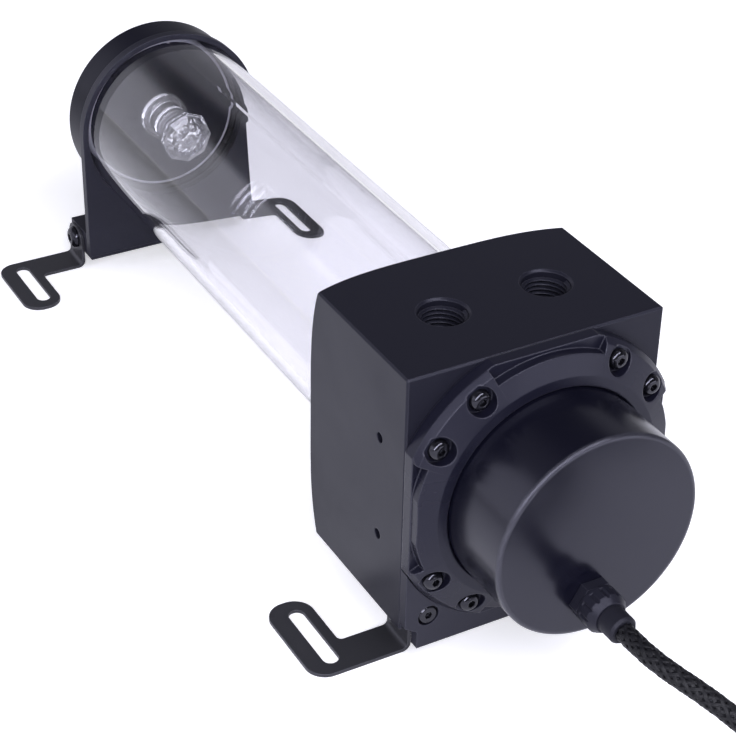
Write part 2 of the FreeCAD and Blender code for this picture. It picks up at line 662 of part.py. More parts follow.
def faceted_knob(back_y):
    """Knob with flat facets round its front and back edges and a dimple over each facet."""
    sector = 2 * math.pi / GUIDE_FACETS

    def outline(radius, y):
        points = []
        for step in range(GUIDE_FACETS):
            turn = sector * step
            points.append(vec(radius * math.cos(turn), y, radius * math.sin(turn)))
        return Part.makePolygon(points + points[:1])

    front_edge = GUIDE_END + GUIDE_END_EDGE
    back_edge = back_y - GUIDE_END_EDGE / 2
    rings = (
        outline(GUIDE_END_FACE, GUIDE_END),
        outline(GUIDE_END_RADIUS, front_edge),
        outline(GUIDE_END_RADIUS, back_edge),
        outline(GUIDE_END_RADIUS - GUIDE_END_EDGE, back_y),
    )
    knob = Part.makeLoft([rings[0], rings[1]], True, True)
    knob = knob.fuse(Part.makeLoft([rings[1], rings[2]], True, True))
    knob = knob.fuse(Part.makeLoft([rings[2], rings[3]], True, True))
    sphere_y = GUIDE_END + GUIDE_DIMPLE_DEPTH - GUIDE_DIMPLE
    knob = knob.cut(Part.makeSphere(GUIDE_DIMPLE, vec(0, sphere_y, 0)))
    ring = GUIDE_END_FACE - GUIDE_DIMPLE
    for step in range(GUIDE_FACETS):
        turn = sector * (step + 0.5)
        centre = vec(ring * math.cos(turn), sphere_y, ring * math.sin(turn))
        knob = knob.cut(Part.makeSphere(GUIDE_DIMPLE, centre))
    return knob


def base_bar(y0, screw_y):
    bar = block(-BAR_HALF_WIDTH, BAR_HALF_WIDTH, y0, y0 + BAR_DEPTH, BAR_BOTTOM, -HALF_HEIGHT)
    for side in (-1, 1):
        mouth = vec(side * BAR_HALF_WIDTH, screw_y, FOOT_SCREW_Z)
        bar = bar.cut(Part.makeCylinder(FOOT_SCREW[2], FOOT_SCREW_LENGTH, mouth, ALONG_X * -side))
    return bar


def bracket_front():
    shoulder = PLATE_NOTCH_TOP + PLATE_NOTCH_SLOPE
    right_edge = [
        vec(PLATE_NOTCH_HALF_WIDTH, -PLATE, PLATE_BOTTOM),
        vec(PLATE_NOTCH_HALF_WIDTH, -PLATE, PLATE_NOTCH_TOP),
        vec(HALF_WIDTH, -PLATE, shoulder),
        vec(HALF_WIDTH, -PLATE, 0),
    ]
    left_edge = [vec(-point.x, point.y, point.z) for point in reversed(right_edge)]
    outline = left_edge + right_edge
    plate = prism(outline, vec(0, PLATE, 0))
    ring_room = rod_y(RING_OUTER + PLATE_RING_GAP, -PLATE, 0)
    ring_room = ring_room.common(block(-BLOCK_WIDTH, BLOCK_WIDTH, -PLATE, 0, -HALF_HEIGHT, BLOCK_WIDTH))
    plate = plate.cut(ring_room)
    bracket = plate.fuse(base_bar(0, FRONT_FOOT_SCREW_Y))
    for side in (-1, 1):
        x = side * BRACKET_SCREW_X
        bracket = bracket.cut(rod_y(BRACKET_COUNTERBORE, -PLATE, BRACKET_SCREW[1] - PLATE, x, BRACKET_SCREW_Z))
        bracket = bracket.cut(rod_y(BRACKET_SCREW[2] + HOLE_CLEARANCE, -PLATE, 0, x, BRACKET_SCREW_Z))
    save("bracket_front", bracket.removeSplitter())


def bracket_rear():
    back = REAR_PLATE_Y + PLATE
    plate = rod_y(REAR_PLATE_RADIUS, REAR_PLATE_Y, back)
    plate = plate.fuse(block(-REAR_PLATE_RADIUS, REAR_PLATE_RADIUS, REAR_PLATE_Y, back, PLATE_BOTTOM, 0))
    plate = plate.cut(rod_y(TUBE_RADIUS + SEAT_CLEARANCE, REAR_PLATE_Y, back))
    save("bracket_rear", plate.fuse(base_bar(back, REAR_FOOT_SCREW_Y)).removeSplitter())


def bracket_screws():
    screws = []
    for side in (-1, 1):
        screw = socket_screw(BRACKET_SCREW, BRACKET_SCREW_LENGTH)
        screw.translate(vec(side * BRACKET_SCREW_X, BRACKET_SCREW[1] - PLATE, BRACKET_SCREW_Z))
        screws.append(screw)
    save("bracket_screws", *screws)


def foot():
    """Front right foot: slotted leg, arm, bend and upright tab."""
    inner_x = FOOT_OUTER_X - LEG_WIDTH
    outer_y = FRONT_ARM_Y
    inner_y = FRONT_ARM_Y + ARM_WIDTH
    end_y = FRONT_ARM_Y + LEG_LENGTH
    bend_x = BAR_HALF_WIDTH + SHEET + BEND_INNER
    top = FLOOR_Z + SHEET
    leg = block(inner_x, FOOT_OUTER_X, outer_y, end_y, FLOOR_Z, top)
    rounded = [e for e in leg.Edges if e.BoundBox.ZLength > SHEET / 2 and not at_arm(e, inner_x, outer_y)]
    leg = leg.makeFillet(FOOT_CORNER, rounded)
    arm = block(bend_x, FOOT_OUTER_X - FOOT_CORNER, outer_y, inner_y, FLOOR_Z, top)
    sheet = leg.fuse(arm)
    corner = block(inner_x - FOOT_INNER_CORNER, inner_x, inner_y, inner_y + FOOT_INNER_CORNER, FLOOR_Z, top)
    corner = corner.cut(rod_z(FOOT_INNER_CORNER, FLOOR_Z, top, inner_x - FOOT_INNER_CORNER, inner_y + FOOT_INNER_CORNER))
    sheet = sheet.fuse(corner)
    sheet = sheet.cut(slot(FOOT_OUTER_X - LEG_WIDTH / 2 - SLOT_OFFSET, outer_y + SLOT_START))
    bend = bend_piece(bend_x, outer_y, inner_y)
    tab = upright_tab(outer_y, inner_y)
    return sheet.fuse(bend).fuse(tab).removeSplitter()


def at_arm(edge, inner_x, outer_y):
    box = edge.BoundBox
    return abs(box.XMin - inner_x) < 0.01 and abs(box.YMin - outer_y) < 0.01


def slot(x, start_y):
    radius = SLOT_WIDTH / 2
    top = FLOOR_Z + SHEET
    opening = block(x - radius, x + radius, start_y + radius, start_y + SLOT_LENGTH - radius, FLOOR_Z, top)
    opening = opening.fuse(rod_z(radius, FLOOR_Z, top, x, start_y + radius))
    return opening.fuse(rod_z(radius, FLOOR_Z, top, x, start_y + SLOT_LENGTH - radius))


def bend_piece(bend_x, y0, y1):
    centre_z = FLOOR_Z + SHEET + BEND_INNER
    outer = BEND_INNER + SHEET
    ring = rod_y(outer, y0, y1, bend_x, centre_z).cut(rod_y(BEND_INNER, y0, y1, bend_x, centre_z))
    return ring.common(block(bend_x - outer, bend_x, y0, y1, FLOOR_Z, centre_z))


def upright_tab(y0, y1):
    centre_z = FLOOR_Z + SHEET + BEND_INNER
    top = -HALF_HEIGHT - TAB_TOP_GAP
    tab = block(BAR_HALF_WIDTH, BAR_HALF_WIDTH + SHEET, y0, y1, centre_z, top)
    upper = [e for e in tab.Edges if e.BoundBox.XLength > SHEET / 2 and e.BoundBox.ZMin > top - 0.1]
    tab = tab.makeFillet(TAB_CORNER, upper)
    return tab


def feet():
    """Each foot is the same bent sheet, mirrored left to right and front to back."""
    front_right = foot()
    rear_right = front_right.mirror(vec(0, FRONT_ARM_Y, 0), ALONG_Y)
    rear_right.translate(vec(0, FOOT_REACH - FRONT_ARM_Y, 0))
    pairs = (("front", front_right, FRONT_FOOT_SCREW_Y), ("rear", rear_right, REAR_FOOT_SCREW_Y))
    for end, right, screw_y in pairs:
        radius = FOOT_SCREW[2] + HOLE_CLEARANCE
        start = vec(BAR_HALF_WIDTH, screw_y, FOOT_SCREW_Z)
        right = right.cut(Part.makeCylinder(radius, SHEET, start, ALONG_X))
        save("foot_" + end + "_right", right)
        save("foot_" + end + "_left", right.mirror(ORIGIN, ALONG_X))
    save("foot_screws", *foot_screws((FRONT_FOOT_SCREW_Y, REAR_FOOT_SCREW_Y)))


def foot_screws(stations):
    screws = []
    for y in stations:
        for side in (-1, 1):
            screw = button_screw(FOOT_SCREW, FOOT_SCREW_LENGTH)
            screw.rotate(ORIGIN, ALONG_Z, 90 * side)
            screw.translate(vec(side * (BAR_HALF_WIDTH + SHEET), y, FOOT_SCREW_Z))
            screws.append(screw)
    return screws


def cord_tube(route):
    """Round tube along straight runs joined by the largest arcs that the runs allow."""
    points = [vec(x, y, height - AXIS_HEIGHT) for x, y, height in route]
    edges = []
    start = points[0]
    for before, here, after in zip(points, points[1:], points[2:]):
        incoming = (here - before).normalize()
        outgoing = (after - here).normalize()
        half_turn = math.acos(max(-1.0, min(1.0, incoming.dot(outgoing)))) / 2
        run = min((here - before).Length, (after - here).Length)
        reach = 0.45 * run
        radius = reach / math.tan(half_turn)
        print("cord arc radius", round(radius, 1), "turn", round(math.degrees(2 * half_turn), 1))
        arc_start = here - incoming * reach
        arc_end = here + outgoing * reach
        bisector = (outgoing - incoming).normalize()
        centre = here + bisector * (radius / math.cos(half_turn))
        middle = centre - bisector * radius
        edges.append(Part.LineSegment(start, arc_start).toShape())
        edges.append(Part.Arc(arc_start, middle, arc_end).toShape())
        start = arc_end
    edges.append(Part.LineSegment(start, points[-1]).toShape())
    path = Part.Wire(edges)
    section = Part.Wire(Part.makeCircle(CABLE_RADIUS, points[0], points[1] - points[0]))
    tube = path.makePipeShell([section], True, False)
    print("cord length", round(path.Length, 1))
    return tube


def polar(centre, radius, angle):
    turn = math.radians(angle)
    return centre[0] + radius * math.cos(turn), centre[1] + radius * math.sin(turn)


def cable():
    save("pump_cable", cord_tube(CABLE_ROUTE))
    inner = COIL_INNER - CABLE_RADIUS
    exit_radius = COIL_INNER + 2 * CABLE_RADIUS * COIL_TURNS
    outer = exit_radius + CABLE_RADIUS
    x, y = COIL_CENTRE
    coil = rod_z(outer, FLOOR_Z, FLOOR_Z + 2 * CABLE_RADIUS, x, y)
    coil = coil.cut(rod_z(inner, FLOOR_Z, FLOOR_Z + 2 * CABLE_RADIUS, x, y))
    coil = coil.makeFillet(CABLE_RADIUS - 0.6, coil.Edges)
    save("cable_coil", coil)
    exit_x, exit_y = polar(COIL_CENTRE, exit_radius, COIL_ENTRY)
    heading = COIL_ENTRY - 90
    second_x, second_y = polar((exit_x, exit_y), TAIL_RUNS[0], heading)
    plug_x, plug_y = polar((second_x, second_y), TAIL_RUNS[1], heading + TAIL_BEND)
    corners = ((exit_x, exit_y), (second_x, second_y), (plug_x, plug_y))
    tail = [(across, along, CABLE_RADIUS) for across, along in corners]
    print("tail", tail)
    save("cable_tail", cord_tube(tail))
    coil_tie(inner, outer)
    power_plug(plug_x, plug_y, heading + TAIL_BEND)


def coil_tie(inner, outer):
    top = FLOOR_Z + 2 * CABLE_RADIUS + TIE_THICKNESS
    half = TIE_WIDTH / 2
    tie = block(inner - TIE_THICKNESS, outer + TIE_THICKNESS, -half, half, FLOOR_Z, top)
    room = block(inner, outer, -half, half, FLOOR_Z + TIE_THICKNESS, top - TIE_THICKNESS)
    tie = tie.cut(room)
    tie.rotate(ORIGIN, ALONG_Z, TIE_ANGLE)
    tie.translate(vec(COIL_CENTRE[0], COIL_CENTRE[1], 0))
    save("coil_tie", tie)


def power_plug(x, y, heading):
    """Flat four-way power plug, lying on its wide side."""
    half = PLUG_WIDTH / 2
    top = FLOOR_Z + PLUG_HEIGHT
    middle = FLOOR_Z + PLUG_HEIGHT / 2
    outline = [
        vec(0, -half, FLOOR_Z),
        vec(0, half, FLOOR_Z),
        vec(0, half, top - PLUG_CORNER),
        vec(0, half - PLUG_CORNER, top),
        vec(0, PLUG_CORNER - half, top),
        vec(0, -half, top - PLUG_CORNER),
    ]
    body = prism(outline, vec(PLUG_LENGTH, 0, 0))
    pins = []
    for step in range(PIN_COUNT):
        across = (step - (PIN_COUNT - 1) / 2) * PIN_PITCH
        mouth = vec(PLUG_LENGTH, across, middle)
        body = body.cut(Part.makeCylinder(SOCKET_RADIUS, SOCKET_DEPTH, mouth, ALONG_X * -1))
        root = vec(PLUG_LENGTH - SOCKET_DEPTH - 2.0, across, middle)
        pins.append(Part.makeCylinder(PIN_RADIUS, SOCKET_DEPTH, root, ALONG_X))
        body = body.cut(Part.makeCylinder(PIN_RADIUS, SOCKET_DEPTH, root, ALONG_X))
    for solid in [body] + pins:
        solid.rotate(ORIGIN, ALONG_Z, heading)
        solid.translate(vec(x, y, 0))
    save("power_plug", body)
    save("plug_pins", *pins)


pump_block()
clamp_ring()
clamp_ring_screws()
motor_cover()
separation_can()
bearing_ball()
rotor_magnet()
impeller()
stator_coil()
circuit_board()
seals()
cable_gland()
reservoir_tube()
end_cap()
light_guide()
bracket_front()
bracket_rear()
bracket_screws()
feet()
cable()
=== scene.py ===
"""Visual model of a coolant pump reservoir, in the shared frame, in metres."""
import json
import math

import bpy
from bpy.props import FloatProperty, IntProperty, PointerProperty
from mathutils import Matrix, Vector


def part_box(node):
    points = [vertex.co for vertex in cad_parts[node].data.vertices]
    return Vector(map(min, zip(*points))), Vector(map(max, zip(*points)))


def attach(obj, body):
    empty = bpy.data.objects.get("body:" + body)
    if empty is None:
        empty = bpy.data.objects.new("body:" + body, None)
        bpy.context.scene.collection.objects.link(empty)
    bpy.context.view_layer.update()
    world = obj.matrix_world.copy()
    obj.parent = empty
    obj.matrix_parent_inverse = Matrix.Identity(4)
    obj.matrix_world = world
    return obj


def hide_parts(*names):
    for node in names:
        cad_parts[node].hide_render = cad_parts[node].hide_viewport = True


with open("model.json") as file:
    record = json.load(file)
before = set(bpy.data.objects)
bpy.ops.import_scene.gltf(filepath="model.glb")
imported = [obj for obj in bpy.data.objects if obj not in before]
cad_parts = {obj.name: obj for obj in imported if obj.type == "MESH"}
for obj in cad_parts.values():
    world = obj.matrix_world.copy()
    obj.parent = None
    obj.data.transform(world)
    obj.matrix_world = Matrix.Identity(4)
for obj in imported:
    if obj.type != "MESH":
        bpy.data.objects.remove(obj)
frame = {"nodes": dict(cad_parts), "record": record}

bl_info = {
    "name": "Coolant pump reservoir",
    "version": (1, 0, 0),
    "blender": (4, 5, 0),
    "location": "View3D > Sidebar > Reservoir",
    "description": "Builds the finished look of a coolant pump with its tube reservoir",
    "category": "Add Mesh",
}

MM = 0.001
BODY = "pump"
NODES = frame["nodes"]

# Places measured from the frame
BLOCK_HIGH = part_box("pump_block")[1]
TUBE_LOW, TUBE_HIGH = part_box("reservoir_tube")
AXIS_Z = (TUBE_LOW.z + TUBE_HIGH.z) / 2

# Lead: points of its route from the gland to the coil, in metres
CABLE_ROUTE = [
    (-0.0010, -0.14745, 0.0346),
    (-0.0010, -0.15545, 0.0346),
    (0.0012, -0.16365, 0.0334),
    (0.0049, -0.17115, 0.0315),
    (0.0095, -0.17905, 0.0280),
    (0.0146, -0.18685, 0.0225),
    (0.0212, -0.19585, 0.0161),
    (0.0286, -0.20645, 0.0108),
    (0.0354, -0.21595, 0.0080),
    (0.0402, -0.22295, 0.0058),
]
CABLE_RADIUS = 0.00275
CORE_RADIUS = 0.0022
COIL_CENTRE = (0.0220, -0.24045)
COIL_INNER = 0.025
COIL_TURNS = 2
COIL_ENTRY = math.radians(34.8)
COIL_STEPS = 16
COIL_SETTLE = (0.0046, 0.0034)
TAIL_ROUTE = [
    (0.05727, -0.22812, 0.00275),
    (0.06764, -0.23415, 0.00275),
]


class ReservoirSettings(bpy.types.PropertyGroup):
    """Values that set the picture and the finish"""

    camera_azimuth: FloatProperty(
        name="Camera azimuth",
        description="Angle of the view about the vertical, 0 looking along +Y",
        default=math.radians(-29.406),
        subtype="ANGLE",
    )
    camera_elevation: FloatProperty(
        name="Camera elevation",
        description="Angle of the view above the horizon",
        default=math.radians(33.047),
        subtype="ANGLE",
    )
    camera_roll: FloatProperty(
        name="Camera roll",
        description="Turn of the picture about the line of sight",
        default=math.radians(1.203),
        subtype="ANGLE",
    )
    camera_distance: FloatProperty(
        name="Camera distance",
        description="Distance from the aim point to the lens",
        default=0.534344,
        unit="LENGTH",
    )
    camera_lens: FloatProperty(
        name="Lens",
        description="Focal length in millimetres on a 36 mm sensor",
        default=100.61,
    )
    key_power: FloatProperty(
        name="Key power",
        description="Power of the soft light at the left",
        default=0.9,
        unit="POWER",
    )
    strip_power: FloatProperty(
        name="Strip power",
        description="Power of the long light high in front at the left",
        default=13.0,
        unit="POWER",
    )
    side_power: FloatProperty(
        name="Side power",
        description="Power of the low soft light in front at the right",
        default=2.7,
        unit="POWER",
    )
    front_power: FloatProperty(
        name="Front power",
        description="Power of the soft light high in front at the right",
        default=9.0,
        unit="POWER",
    )
    top_power: FloatProperty(
        name="Top power",
        description="Power of the soft light above",
        default=0.7,
        unit="POWER",
    )
    grain: FloatProperty(
        name="Grain",
        description="Strength of the fine surface grain",
        default=0.12,
        min=0.0,
        max=1.0,
    )
    braid_strands: IntProperty(
        name="Braid strands",
        description="Strands of the lead's sleeve that run each way",
        default=8,
        min=4,
        max=24,
    )


def settings():
    return bpy.context.scene.reservoir_settings


# Node helpers

def new_material(name):
    material = bpy.data.materials.new(name)
    material.use_nodes = True
    tree = material.node_tree
    return material, tree, tree.nodes["Principled BSDF"]


def add_node(tree, kind, **values):
    node = tree.nodes.new(kind)
    for key, value in values.items():
        setattr(node, key, value)
    return node


def calculate(tree, operation, first, second):
    """Math node on a socket and a second socket or number; gives its output."""
    node = add_node(tree, "ShaderNodeMath", operation=operation)
    tree.links.new(first, node.inputs[0])
    if isinstance(second, bpy.types.NodeSocket):
        tree.links.new(second, node.inputs[1])
    else:
        node.inputs[1].default_value = second
    return node.outputs["Value"]


def remap(tree, value, source, target, interpolation="LINEAR"):
    """Map Range node from one pair of numbers to another; gives its output."""
    node = add_node(tree, "ShaderNodeMapRange", interpolation_type=interpolation)
    node.inputs["From Min"].default_value, node.inputs["From Max"].default_value = source
    node.inputs["To Min"].default_value, node.inputs["To Max"].default_value = target
    tree.links.new(value, node.inputs["Value"])
    return node.outputs["Result"]


def mix_colours(tree, share, first, second):
    """Mix node between two colours, each a socket or three numbers; gives its output."""
    node = add_node(tree, "ShaderNodeMix", data_type="RGBA")
    tree.links.new(share, node.inputs[0])
    for socket, colour in ((node.inputs[6], first), (node.inputs[7], second)):
        if isinstance(colour, bpy.types.NodeSocket):
            tree.links.new(colour, socket)
        else:
            socket.default_value = (*colour, 1.0)
    return node.outputs[2]


def group_node(tree, group, **inputs):
    node = tree.nodes.new("ShaderNodeGroup")
    node.node_tree = group
    for key, value in inputs.items():
        node.inputs[key.replace("_", " ")].default_value = value
    return node


def new_group(name, inputs, outputs):
    """Shader node group with float inputs given as (name, default) and outputs as (name, socket type)."""
    group = bpy.data.node_groups.new(name, "ShaderNodeTree")
    for label, default in inputs:
        socket = group.interface.new_socket(label, in_out="INPUT", socket_type="NodeSocketFloat")
        socket.default_value = default
    for label, kind in outputs:
        group.interface.new_socket(label, in_out="OUTPUT", socket_type=kind)
    enter = group.nodes.new("NodeGroupInput")
    leave = group.nodes.new("NodeGroupOutput")
    return group, enter, leave


# Cosine of the turn between a face and its softened edge, from a plain face to a fully marked edge (wear,
# and on the cover and the cap a painted highlight)
EDGE_TURN = (0.995, 0.82)
GRAIN_HEIGHT = 0.05 * MM


def surface_group():
    """Fine grain, soft smudges and an edge mask for worn edges and painted edge highlights, read from object
    coordinates.
    """
    group, enter, leave = new_group(
        "Surface detail",
        [("Grain Scale", 2600.0), ("Grain Strength", 0.12), ("Edge Radius", 0.0004), ("Smudge Scale", 38.0)],
        [("Grain", "NodeSocketFloat"), ("Smudge", "NodeSocketFloat"), ("Edge", "NodeSocketFloat"),
         ("Normal", "NodeSocketVector")],
    )
    link = group.links.new
    place = group.nodes.new("ShaderNodeTexCoord")
    grain = add_node(group, "ShaderNodeTexNoise")
    grain.inputs["Detail"].default_value = 3.0
    link(place.outputs["Object"], grain.inputs["Vector"])
    link(enter.outputs["Grain Scale"], grain.inputs["Scale"])
    smudge = add_node(group, "ShaderNodeTexNoise")
    smudge.inputs["Detail"].default_value = 4.0
    smudge.inputs["Distortion"].default_value = 0.4
    link(place.outputs["Object"], smudge.inputs["Vector"])
    link(enter.outputs["Smudge Scale"], smudge.inputs["Scale"])
    bevel = add_node(group, "ShaderNodeBevel", samples=6)
    link(enter.outputs["Edge Radius"], bevel.inputs["Radius"])
    geometry = group.nodes.new("ShaderNodeNewGeometry")
    meet = add_node(group, "ShaderNodeVectorMath", operation="DOT_PRODUCT")
    link(bevel.outputs["Normal"], meet.inputs[0])
    link(geometry.outputs["Normal"], meet.inputs[1])
    edge = remap(group, meet.outputs["Value"], EDGE_TURN, (0.0, 1.0))
    bump = add_node(group, "ShaderNodeBump")
    bump.inputs["Distance"].default_value = GRAIN_HEIGHT
    link(enter.outputs["Grain Strength"], bump.inputs["Strength"])
    link(grain.outputs["Fac"], bump.inputs["Height"])
    link(bevel.outputs["Normal"], bump.inputs["Normal"])
    link(grain.outputs["Fac"], leave.inputs["Grain"])
    link(smudge.outputs["Fac"], leave.inputs["Smudge"])
    link(edge, leave.inputs["Edge"])
    link(bump.outputs["Normal"], leave.inputs["Normal"])
    return group


def shared_group(name, maker):
    return bpy.data.node_groups.get(name) or maker()


COOL_TINT = (0.86, 0.86, 1.0, 1.0)
SMUDGE_RANGE = (0.3, 0.7)
SMUDGE_GLOSS = 0.05


def coated(name, colour, edge_colour, roughness, grain_scale=2600.0, grain=0.12, metallic=0.0,
           edge_radius=0.0004, edge_amount=0.35, specular=0.5):
    """Opaque finish with grain, smudges that vary the gloss, and a lighter edge colour: slight wear on most
    finishes, a painted highlight on the cover and the cap.
    """
    material, tree, shader = new_material(name)
    link = tree.links.new
    detail = group_node(tree, shared_group("Surface detail", surface_group), Grain_Scale=grain_scale,
                        Grain_Strength=grain, Edge_Radius=edge_radius)
    # Edge mark: wear on most finishes, and a painted highlight where the edge colour is pale (cover, cap)
    edge_wear_and_highlight = calculate(tree, "MULTIPLY", detail.outputs["Edge"], edge_amount)
    link(mix_colours(tree, edge_wear_and_highlight, colour, edge_colour), shader.inputs["Base Color"])
    gloss = (roughness - SMUDGE_GLOSS, roughness + SMUDGE_GLOSS)
    link(remap(tree, detail.outputs["Smudge"], SMUDGE_RANGE, gloss), shader.inputs["Roughness"])
    link(detail.outputs["Normal"], shader.inputs["Normal"])
    shader.inputs["Metallic"].default_value = metallic
    shader.inputs["Specular IOR Level"].default_value = specular
    shader.inputs["Specular Tint"].default_value = COOL_TINT
    return material


# Place and size of the band on the spigot's turned edge where a highlight is painted into the cap's colour
SPIGOT_FACE_Y = TUBE_HIGH.y - 7.7 * MM
SPIGOT_EDGE_RADIUS = TUBE_HIGH.x - 3.7 * MM
SPIGOT_EDGE_WIDTH = 1.5 * MM
SPIGOT_EDGE_DEPTH = 0.7 * MM


def paint_spigot_edge_highlight(material, colour):
    """Paints a highlight into the cap's colour at the turned edge of its spigot: a lighter ring band that
    stands for light caught by the edge, seen as a thin ring through the tube.
    """
    tree = material.node_tree
    link = tree.links.new
    shader = tree.nodes["Principled BSDF"]
    plain = shader.inputs["Base Color"].links[0].from_socket
    place = tree.nodes.new("ShaderNodeTexCoord")
    split = tree.nodes.new("ShaderNodeSeparateXYZ")
    link(place.outputs["Object"], split.inputs["Vector"])
    centred = add_node(tree, "ShaderNodeVectorMath", operation="SUBTRACT")
    centred.inputs[1].default_value = (0.0, 0.0, AXIS_Z)
    link(place.outputs["Object"], centred.inputs[0])
    across = add_node(tree, "ShaderNodeVectorMath", operation="MULTIPLY")
    across.inputs[1].default_value = (1.0, 0.0, 1.0)
    link(centred.outputs["Vector"], across.inputs[0])
    radius = add_node(tree, "ShaderNodeVectorMath", operation="LENGTH")
    link(across.outputs["Vector"], radius.inputs[0])
    ring = add_node(tree, "ShaderNodeMath", operation="COMPARE")
    ring.inputs[1].default_value = SPIGOT_EDGE_RADIUS
    ring.inputs[2].default_value = SPIGOT_EDGE_WIDTH / 2
    link(radius.outputs["Value"], ring.inputs[0])
    front = calculate(tree, "LESS_THAN", split.outputs["Y"], SPIGOT_FACE_Y + SPIGOT_EDGE_DEPTH)
    edge = calculate(tree, "MULTIPLY", ring.outputs["Value"], front)
    # Painted highlight: the band takes the lighter colour in place of the cap's own
    link(mix_colours(tree, edge, plain, colour), shader.inputs["Base Color"])


ACRYLIC_IOR = 1.49
HAZE_SCALE = 45.0


def clear_acrylic(name, tint, roughness=0.015, clearness=1.0):
    """Clear plastic whose gloss varies softly."""
    material, tree, shader = new_material(name)
    shader.inputs["Base Color"].default_value = (*tint, 1.0)
    shader.inputs["Transmission Weight"].default_value = clearness
    shader.inputs["IOR"].default_value = ACRYLIC_IOR
    shader.inputs["Specular IOR Level"].default_value = 0.95
    place = tree.nodes.new("ShaderNodeTexCoord")
    haze = add_node(tree, "ShaderNodeTexNoise")
    haze.inputs["Scale"].default_value = HAZE_SCALE
    tree.links.new(place.outputs["Object"], haze.inputs["Vector"])
    gloss = remap(tree, haze.outputs["Fac"], (0.0, 1.0), (roughness * 0.5, roughness * 1.5))
    tree.links.new(gloss, shader.inputs["Roughness"])
    return material


def finish_nodes(material, *names):
    """Gives CAD nodes their finish and smooths their round faces."""
    for name in names:
        node = NODES[name]
        node.data.materials.clear()
        node.data.materials.append(material)
        smooth(node)


def smooth(piece, angle=28.0):
    bpy.ops.object.select_all(action="DESELECT")
    piece.select_set(True)
    bpy.context.view_layer.objects.active = piece
    bpy.ops.object.shade_smooth_by_angle(angle=math.radians(angle))


def settle(piece, name, material):
    """Names a new piece, bakes its place into its mesh, and puts it on the pump's body."""
    bpy.ops.object.select_all(action="DESELECT")
    piece.select_set(True)
    bpy.context.view_layer.objects.active = piece
    bpy.ops.object.transform_apply(location=True, rotation=True, scale=True)
    piece.name = name
    piece.data.materials.clear()
    piece.data.materials.append(material)
    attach(piece, BODY)
    return piece


# Pieces

class RESERVOIR_OT_block(bpy.types.Operator):
    """Finish the pump block and add its port threads"""

    bl_idname = "reservoir.block"
    bl_label = "Pump block"

    def execute(self, context):
        grain = settings().grain
        block = coated("Block acetal", (0.008, 0.008, 0.013), (0.10, 0.10, 0.12), 0.36, grain=grain,
                       specular=0.2)
        finish_nodes(block, "pump_block")
        for name, mount in (("thread_outlet", "outlet_port"), ("thread_inlet", "inlet_port")):
            thread(name, mount, block)
        return {"FINISHED"}


THREAD_PITCH = 1.337 * MM
THREAD_CREST = 5.72 * MM
THREAD_ROOT = 6.55 * MM
THREAD_TURNS = 6
THREAD_STEPS = 40
THREAD_TOP_GAP = 1.0 * MM

# Where one ridge's crest begins and ends and its root begins again, in shares of the pitch
CREST_START = 0.42
CREST_END = 0.58
ROOT_START = 0.96


def thread(name, mount_name, material):
    """Helical ridge of a pipe thread inside a port, swept from one notch by a screw modifier."""
    mount = next(m for m in frame["record"]["mounts"] if m["name"] == mount_name)
    x, y, _ = mount["pos_m"]
    bottom = BLOCK_HIGH.z - THREAD_TOP_GAP - THREAD_PITCH * (THREAD_TURNS + 1)
    bpy.ops.object.select_all(action="DESELECT")
    bpy.ops.mesh.primitive_plane_add(size=1.0, location=(0, 0, 0))
    piece = bpy.context.object
    corners = [
        (THREAD_ROOT, 0, 0),
        (THREAD_CREST, 0, THREAD_PITCH * CREST_START),
        (THREAD_ROOT, 0, THREAD_PITCH * ROOT_START),
        (THREAD_CREST, 0, THREAD_PITCH * CREST_END),
    ]
    for vertex, corner in zip(piece.data.vertices, corners):
        vertex.co = corner
    screw = piece.modifiers.new("Thread", "SCREW")
    screw.axis = "Z"
    screw.screw_offset = THREAD_PITCH
    screw.iterations = THREAD_TURNS
    screw.steps = THREAD_STEPS
    screw.render_steps = THREAD_STEPS
    bpy.ops.object.modifier_apply(modifier="Thread")
    piece.location = (x, y, bottom)
    settle(piece, name, material)
    smooth(piece, 40.0)


class RESERVOIR_OT_motor(bpy.types.Operator):
    """Finish the motor cover, its clamp ring, screws and gland"""

    bl_idname = "reservoir.motor"
    bl_label = "Motor end"

    def execute(self, context):
        grain = settings().grain
        ring = coated("Clamp ring", (0.006, 0.006, 0.012), (0.10, 0.10, 0.12), 0.28, grain=grain,
                      edge_radius=0.0006, specular=0.28)
        # The cover's pale edge colour over a wide edge mask paints a highlight along all its rims and edges
        cover = coated("Anodised cover", (0.003, 0.003, 0.007), (0.60, 0.60, 0.67), 0.21,
                       grain_scale=4200.0, grain=grain * 0.6, edge_radius=0.0012,
                       edge_amount=0.75, specular=0.5)
        steel = coated("Black oxide steel", (0.003, 0.003, 0.004), (0.06, 0.06, 0.07), 0.11,
                       grain=grain * 0.3, edge_radius=0.0003, specular=0.5)
        nylon = coated("Gland nylon", (0.009, 0.009, 0.014), (0.04, 0.04, 0.05), 0.45, grain=grain,
                       specular=0.2)
        sleeve = coated("Shrink sleeve", (0.010, 0.010, 0.014), (0.03, 0.03, 0.035), 0.55, grain=grain,
                        specular=0.2)
        finish_nodes(ring, "clamp_ring")
        finish_nodes(cover, "motor_cover")
        finish_nodes(steel, "clamp_ring_screws", "bracket_screws", "foot_screws", "guide_nut")
        finish_nodes(nylon, "cable_gland", "gland_nut")
        finish_nodes(sleeve, "gland_sleeve")
        return {"FINISHED"}


